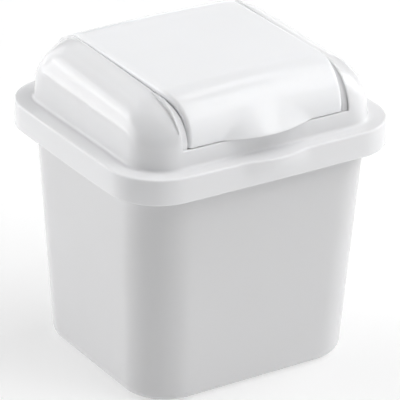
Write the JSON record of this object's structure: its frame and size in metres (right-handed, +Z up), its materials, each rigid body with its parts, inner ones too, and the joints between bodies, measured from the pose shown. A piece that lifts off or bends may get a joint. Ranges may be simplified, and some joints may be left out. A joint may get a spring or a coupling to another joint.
{
  "type": "countertop trash can with swing lid",
  "caption": "Small table-top waste bin: tapered round-cornered bucket, lift-off domed lid frame and a swinging door with a front finger lip.",
  "frame": {"origin": "centre of the flat base the bin stands on", "axes": "+Z up; -Y is the front, where the door's finger lip is; X runs across the width, parallel to the door's pivot"},
  "size_m": [0.1644, 0.1488, 0.1724],
  "materials": {
    "bucket_plastic": "satin moulded polypropylene",
    "lid_plastic": "satin moulded polypropylene",
    "door_plastic": "satin moulded polypropylene"
  },
  "bodies": {
    "bucket": {"bucket": "bucket_plastic"},
    "lid": {"lid_frame": "lid_plastic"},
    "door": {"swing_door": "door_plastic"}
  },
  "joints": [
    {"name": "lid_lift", "type": "slide", "parent": "bucket", "child": "lid", "axis": [0, 0, 1], "range_m": [0, 0.06]},
    {"name": "door_swing", "type": "hinge", "parent": "lid", "child": "door", "pos_m": [0, 0.008, 0.162], "axis": [-1, 0, 0], "range_deg": [0, 65]}
  ]
}
